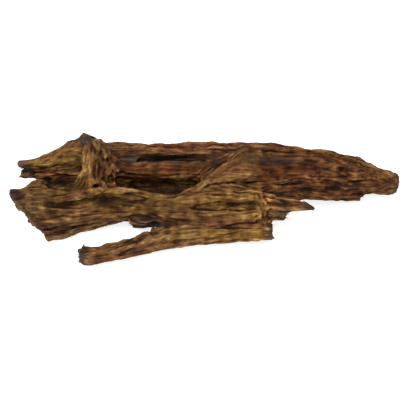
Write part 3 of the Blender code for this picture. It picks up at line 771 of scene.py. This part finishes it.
    def build(self) -> bpy.types.Object:
        """Makes the skin, displaces it and gives it its attributes."""
        piece = self.fine_skin()
        mesh = piece.data
        count = len(mesh.vertices)
        points = np.empty(count * 3)
        mesh.vertices.foreach_get("co", points)
        points = points.reshape(-1, 3) / MM
        points[:, 0] *= self.stretch
        points = self.shaped(mesh, points)
        mesh.vertices.foreach_set("co", (points * MM).ravel())
        mesh.update()
        normals = np.empty(count * 3)
        mesh.vertex_normals.foreach_get("vector", normals)
        normals = normals.reshape(-1, 3)
        # How much sky each point's own wood hides, which the finish paints as shade.
        hollow = self.smoothed(mesh, self.hollowness(mesh, points, normals), 2)
        places = GrainField().at(points)
        height, crack = self.relief(places, normals)
        moved = points + normals * height[:, None]
        moved[:, 2] = np.maximum(moved[:, 2], 0)
        mesh.vertices.foreach_set("co", (moved * MM).ravel())
        mesh.update()
        # How far each point stands out from its neighbours, for the finish's lighter ridges and darker
        # grooves.
        mean = self.smoothed(mesh, moved, self.proud_steps)
        proud = ((moved - mean) * normals).sum(axis=1) / self.proud_full
        values = {"proud": np.clip(proud, -1, 1), "hollow": hollow, "crack": crack,
                  "swirl_share": places.swirl_share}
        values.update({tone.value: share for tone, share in self.tones(places).items()})
        for name, value in values.items():
            mesh.attributes.new(name, "FLOAT", "POINT").data.foreach_set(
                "value", value.astype(np.float32))
        for name, value in (("grain", places.grain), ("swirl", places.swirl)):
            mesh.attributes.new(name, "FLOAT_VECTOR", "POINT").data.foreach_set(
                "vector", value.astype(np.float32).ravel())
        mesh.shade_smooth()
        return piece


@dataclass(frozen=True)
class FrayedEnds:
    """The torn fibres that stand out of the broken ends, each a flat tapered splinter."""

    thickness: tuple[float, float] = (0.5, 1.1)
    flatness: float = 0.55
    lean: float = 0.28
    rooted: float = 3.0
    sides: int = 5
    seed: int = 81

    def build(self, skin: bpy.types.Object) -> bpy.types.Object:
        """Makes all splinters.

        Args:
            skin: the finished wood that they stand on.

        Returns:
            The piece.
        """
        draw = np.random.default_rng(self.seed)
        wood = bmesh.new()
        wood.from_mesh(skin.data)
        tree = BVHTree.FromBMesh(wood)
        wood.free()
        shape = bmesh.new()
        for tuft in TUFTS:
            for _ in range(tuft.count):
                place = Vector(np.array(tuft.middle) + draw.uniform(-1, 1, 3) * tuft.reach)
                root = tree.find_nearest(place * MM)[0] / MM
                heading = Vector(tuft.heading).normalized()
                heading = (heading + Vector(draw.normal(0, self.lean / 2, 3))).normalized()
                length = tuft.length * draw.uniform(0.45, 1.0) + self.rooted
                wide = draw.uniform(*self.thickness)
                verts = bmesh.ops.create_cone(
                    shape, cap_ends=True, segments=self.sides, radius1=wide,
                    radius2=wide * 0.2, depth=length)["verts"]
                bmesh.ops.scale(shape, vec=(1, self.flatness, 1), verts=verts)
                bmesh.ops.translate(shape, vec=(0, 0, length / 2 - self.rooted), verts=verts)
                turn = heading.to_track_quat("Z", "Y").to_matrix()
                bmesh.ops.rotate(shape, matrix=turn, verts=verts)
                bmesh.ops.translate(shape, vec=root, verts=verts)
        for vert in shape.verts:
            vert.co.z = max(vert.co.z, 0)
        bmesh.ops.scale(shape, vec=(MM, MM, MM), verts=shape.verts)
        data = bpy.data.meshes.new("frayed_ends")
        shape.to_mesh(data)
        shape.free()
        piece = bpy.data.objects.new("frayed_ends", data)
        bpy.context.scene.collection.objects.link(piece)
        return piece


class Graph:
    """A node tree with short calls that add its nodes."""

    def __init__(self, tree: bpy.types.NodeTree) -> None:
        """Keeps the tree."""
        self.tree = tree

    def add(self, kind: str, inputs: dict | None = None, **settings: object) -> bpy.types.Node:
        """Adds a node.

        Args:
            kind: the node's type, without the ShaderNode before it.
            inputs: a value or another node's output for each named or numbered input.
            settings: the node's own properties.

        Returns:
            The node.
        """
        node = self.tree.nodes.new(kind if kind.startswith("NodeGroup") else f"ShaderNode{kind}")
        for name, value in settings.items():
            setattr(node, name, value)
        for name, value in (inputs or {}).items():
            if isinstance(value, bpy.types.NodeSocket):
                self.tree.links.new(value, node.inputs[name])
            else:
                node.inputs[name].default_value = value
        return node

    def math(self, operation: str, *values: object, clamp: bool = False) -> bpy.types.NodeSocket:
        """The result of a Math node on values or outputs."""
        inputs = dict(enumerate(values))
        return self.add("Math", inputs, operation=operation, use_clamp=clamp).outputs[0]

    def mix(self, blend: str, factor: object, first: object, last: object) -> bpy.types.NodeSocket:
        """The result of a colour Mix node."""
        node = self.add("Mix", {0: factor, 6: first, 7: last}, data_type="RGBA", blend_type=blend)
        return node.outputs[2]

    def ramp(self, value: object, stops: tuple[tuple[float, Colour], ...]) -> bpy.types.NodeSocket:
        """The colour of a Color Ramp at a value.

        Args:
            value: the output or number that picks the colour.
            stops: places from 0 to 1, each with its colour.

        Returns:
            The ramp's colour output.
        """
        node = self.add("ValToRGB", {0: value})
        elements = node.color_ramp.elements
        while len(elements) < len(stops):
            elements.new(0.5)
        for element, (place, colour) in zip(elements, stops):
            element.position = place
            element.color = colour
        return node.outputs[0]

    def attribute(self, name: str) -> bpy.types.Node:
        """The node that reads an attribute of the skin."""
        return self.add("Attribute", attribute_name=name)


def grain_noise_group() -> bpy.types.NodeTree:
    """The node group that makes noise stretched along the grain, also where the grain turns."""
    group = bpy.data.node_groups.new("grain_noise", "ShaderNodeTree")
    for name, kind, value in (("Grain", "NodeSocketVector", None), ("Swirl", "NodeSocketVector", None),
                              ("Swirl Share", "NodeSocketFloat", 0.0), ("Length", "NodeSocketFloat", 30.0),
                              ("Width", "NodeSocketFloat", 2.0), ("Detail", "NodeSocketFloat", 3.0),
                              ("Offset", "NodeSocketFloat", 0.0)):
        socket = group.interface.new_socket(name, in_out="INPUT", socket_type=kind)
        if value is not None:
            socket.default_value = value
    group.interface.new_socket("Value", in_out="OUTPUT", socket_type="NodeSocketFloat")
    graph = Graph(group)
    given = graph.add("NodeGroupInput").outputs
    size = graph.add("CombineXYZ", {0: given["Length"], 1: given["Width"], 2: given["Width"]})
    found = []
    for name in ("Grain", "Swirl"):
        place = graph.add("VectorMath", {0: given[name], 1: size.outputs[0]}, operation="DIVIDE")
        place = graph.add("VectorMath", {0: place.outputs[0], 1: given["Offset"]}, operation="ADD")
        noise = graph.add("TexNoise", {"Vector": place.outputs[0], "Scale": 1.0,
                                       "Detail": given["Detail"], "Roughness": 0.6})
        found.append(noise.outputs[0])
    mixed = graph.add("Mix", {0: given["Swirl Share"], 2: found[0], 3: found[1]}, data_type="FLOAT")
    graph.add("NodeGroupOutput", {"Value": mixed.outputs[0]})
    return group


@dataclass(frozen=True)
class WoodFinish:
    """Weathered wood: its colours from groove to ridge, its tints, painted shade in its hollows and
    cracks, and its roughness.
    """

    name: str = "weathered_wood"
    stops: tuple[tuple[float, Colour], ...] = (
        (0.00, (0.011, 0.0046, 0.0015, 1)),
        (0.25, (0.037, 0.0150, 0.0044, 1)),
        (0.50, (0.094, 0.0430, 0.0132, 1)),
        (0.75, (0.166, 0.0880, 0.0310, 1)),
        (1.00, (0.285, 0.1820, 0.0800, 1)),
    )
    tints: tuple[tuple[Tone, Colour], ...] = (
        (Tone.RED, (0.86, 0.69, 0.64, 1)),
        (Tone.ORANGE, (0.72, 0.51, 0.33, 1)),
        (Tone.OLIVE, (0.92, 0.95, 0.66, 1)),
        (Tone.MAUVE, (0.98, 0.84, 1.02, 1)),
        (Tone.PALE, (2.20, 2.20, 2.15, 1)),
        # The dark tint darkens both darker wood and painted shade.
        (Tone.DARK, (0.32, 0.27, 0.19, 1)),
    )
    grey: Colour = (0.026, 0.0205, 0.0180, 1)
    # Near black of the painted shade in hollows, slots and under overhangs.
    painted_shade_colour: Colour = (0.008, 0.0042, 0.0022, 1)
    bump_mm: float = 0.45

    def material(self) -> bpy.types.Material:
        """Builds the material."""
        material = bpy.data.materials.new(self.name)
        material.use_nodes = True
        graph = Graph(material.node_tree)
        shader = material.node_tree.nodes["Principled BSDF"]
        group = grain_noise_group()
        grain = graph.attribute("grain").outputs["Vector"]
        swirl = graph.attribute("swirl").outputs["Vector"]
        share = graph.attribute("swirl_share").outputs["Fac"]

        def noise(length: float, width: float, detail: float, offset: float) -> bpy.types.NodeSocket:
            """Noise stretched along the grain, from 0 to 1."""
            inputs = {"Grain": grain, "Swirl": swirl, "Swirl Share": share, "Length": length,
                      "Width": width, "Detail": detail, "Offset": offset}
            node = graph.add("Group", node_tree=group)
            for key, value in inputs.items():
                if isinstance(value, bpy.types.NodeSocket):
                    graph.tree.links.new(value, node.inputs[key])
                else:
                    node.inputs[key].default_value = value
            return node.outputs[0]

        streak = noise(44, 5.5, 3, 0)
        fibre = noise(20, 1.5, 3, 7)
        hair = noise(8, 0.5, 2, 13)
        hue = noise(36, 9.0, 2, 23)
        blotch = noise(16, 8.0, 2, 31)
        place = graph.add("TexCoord").outputs["Object"]
        mottle = graph.add("TexNoise", {"Vector": place, "Scale": 95.0, "Detail": 4.0}).outputs[0]
        proud = graph.attribute("proud").outputs["Fac"]
        hollow = graph.attribute("hollow").outputs["Fac"]
        crack = graph.attribute("crack").outputs["Fac"]

        light = graph.math("MULTIPLY_ADD", streak, 1.2, -0.13)
        for value, amount in ((fibre, 0.75), (hair, 0.35), (mottle, 1.2), (blotch, 0.6)):
            centred = graph.math("SUBTRACT", value, 0.5)
            light = graph.math("MULTIPLY_ADD", centred, amount, light)
        # Ridges lighter and grooves darker: partly wear on ridge tops, partly painted highlight on ridges
        # and painted shade in grooves.
        light = graph.math("MULTIPLY_ADD", proud, 0.28, light)
        # Painted shade: cracks and pits are drawn darker.
        light = graph.math("MULTIPLY_ADD", crack, -0.35, light, clamp=True)
        colour = graph.ramp(light, self.stops)

        olive = graph.ramp(hue, ((0.40, (1.0, 0.87, 0.86, 1)), (0.50, (1, 1, 1, 1)),
                                 (0.62, (0.99, 1.03, 0.82, 1))))
        colour = graph.mix("MULTIPLY", 0.8, colour, olive)
        for tone, tint in self.tints:
            colour = graph.mix("MULTIPLY", graph.attribute(tone.value).outputs["Fac"], colour, tint)
        grey = graph.math("MULTIPLY", graph.attribute(Tone.GREY.value).outputs["Fac"], 0.75)
        weather = graph.mix("MULTIPLY", 0.5, self.grey, graph.ramp(light, (
            (0.2, (0.4, 0.4, 0.4, 1)), (0.8, (2.2, 2.2, 2.2, 1)))))
        colour = graph.mix("MIX", grey, colour, weather)
        # Painted shade: the colour goes towards near black where the wood hides much of the sky.
        deep = graph.math("MULTIPLY_ADD", hollow, 1.7, -0.28, clamp=True)
        colour = graph.mix("MIX", graph.math("MULTIPLY", deep, 0.9), colour, self.painted_shade_colour)
        graph.tree.links.new(colour, shader.inputs["Base Color"])

        rough = graph.math("MULTIPLY_ADD", fibre, 0.3, 0.62, clamp=True)
        graph.tree.links.new(rough, shader.inputs["Roughness"])
        shader.inputs["Specular IOR Level"].default_value = 0.09
        height = graph.math("MULTIPLY_ADD", hair, 0.4, fibre)
        height = graph.math("MULTIPLY_ADD", mottle, 0.3, height)
        bump = graph.add("Bump", {"Height": height, "Strength": 1.0, "Distance": self.bump_mm * MM})
        graph.tree.links.new(bump.outputs[0], shader.inputs["Normal"])
        return material


@dataclass(frozen=True)
class SplinterFinish:
    """The dark, greyed wood of the torn fibres."""

    name: str = "torn_fibre"
    stops: tuple[tuple[float, Colour], ...] = (
        (0.35, (0.015, 0.009, 0.006, 1)),
        (0.50, (0.040, 0.024, 0.014, 1)),
        (0.68, (0.095, 0.062, 0.036, 1)),
    )
    noise_scale: float = 160.0
    bump_mm: float = 0.3

    def material(self) -> bpy.types.Material:
        """Builds the material."""
        material = bpy.data.materials.new(self.name)
        material.use_nodes = True
        graph = Graph(material.node_tree)
        shader = material.node_tree.nodes["Principled BSDF"]
        place = graph.add("TexCoord").outputs["Object"]
        noise = graph.add("TexNoise", {"Vector": place, "Scale": self.noise_scale, "Detail": 4.0})
        graph.tree.links.new(graph.ramp(noise.outputs[0], self.stops), shader.inputs["Base Color"])
        rough = graph.math("MULTIPLY_ADD", noise.outputs[0], 0.3, 0.65, clamp=True)
        graph.tree.links.new(rough, shader.inputs["Roughness"])
        shader.inputs["Specular IOR Level"].default_value = 0.09
        bump = graph.add("Bump", {"Height": noise.outputs[0], "Strength": 1.0,
                                  "Distance": self.bump_mm * MM})
        graph.tree.links.new(bump.outputs[0], shader.inputs["Normal"])
        return material


@dataclass(frozen=True)
class Studio:
    """The pale floor, the soft lights and the camera, in mm."""

    target: Point = (-7.0, -2.5, 29.4)
    distance: float = 1520.6
    elevation: float = 40.0
    lens: float = 135.0
    sensor: float = 36.0
    floor_size: float = 6000.0
    sky: float = 1.0
    key_watts: float = 22.0
    key_size: float = 900.0
    key_place: Point = (-500.0, -500.0, 1300.0)

    def camera(self) -> None:
        """A camera that looks down at the root from its front."""
        data = bpy.data.cameras.new("camera")
        data.lens = self.lens
        data.sensor_width = self.sensor
        camera = bpy.data.objects.new("camera", data)
        bpy.context.scene.collection.objects.link(camera)
        tilt = math.radians(self.elevation)
        back = Vector((0, -math.cos(tilt), math.sin(tilt)))
        camera.location = (Vector(self.target) + back * self.distance) * MM
        camera.rotation_euler = (math.radians(90) - tilt, 0, 0)
        bpy.context.scene.camera = camera

    def floor(self) -> None:
        """A plain white floor."""
        shape = bmesh.new()
        bmesh.ops.create_grid(shape, x_segments=1, y_segments=1, size=self.floor_size / 2 * MM)
        data = bpy.data.meshes.new("floor")
        shape.to_mesh(data)
        shape.free()
        floor = bpy.data.objects.new("floor", data)
        bpy.context.scene.collection.objects.link(floor)
        paint = bpy.data.materials.new("floor_paint")
        paint.use_nodes = True
        shader = paint.node_tree.nodes["Principled BSDF"]
        shader.inputs["Base Color"].default_value = (0.5, 0.5, 0.5, 1)
        shader.inputs["Roughness"].default_value = 0.9
        shader.inputs["Emission Color"].default_value = (1, 1, 1, 1)
        shader.inputs["Emission Strength"].default_value = 0.78
        data.materials.append(paint)

    def lights(self) -> None:
        """An even white sky and one large soft key light."""
        world = bpy.data.worlds.new("studio")
        world.use_nodes = True
        sky = world.node_tree.nodes["Background"]
        sky.inputs["Color"].default_value = (1, 1, 1, 1)
        sky.inputs["Strength"].default_value = self.sky
        bpy.context.scene.world = world
        data = bpy.data.lights.new("key", "AREA")
        data.energy = self.key_watts
        data.size = self.key_size * MM
        key = bpy.data.objects.new("key", data)
        bpy.context.scene.collection.objects.link(key)
        place = Vector(self.key_place)
        key.location = place * MM
        key.rotation_euler = (Vector(self.target) - place).to_track_quat("-Z", "Y").to_euler()

    def build(self) -> None:
        """Sets the stage."""
        bpy.context.scene.view_settings.view_transform = "Standard"
        self.camera()
        self.floor()
        self.lights()


def main() -> None:
    """Builds the root and its stage."""
    logging.basicConfig(level=logging.INFO, format="%(name)s: %(message)s")
    Studio().build()
    wood = RootWood().build()
    splinters = FrayedEnds().build(wood)
    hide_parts(NODE)
    for piece, finish in ((wood, WoodFinish()), (splinters, SplinterFinish())):
        piece.data.materials.clear()
        piece.data.materials.append(finish.material())
        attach(piece, BODY)
        triangles = sum(len(face.vertices) - 2 for face in piece.data.polygons)
        LOG.info("%s: %d points, %d triangles", piece.name, len(piece.data.vertices), triangles)


if __name__ == "__main__":
    main()
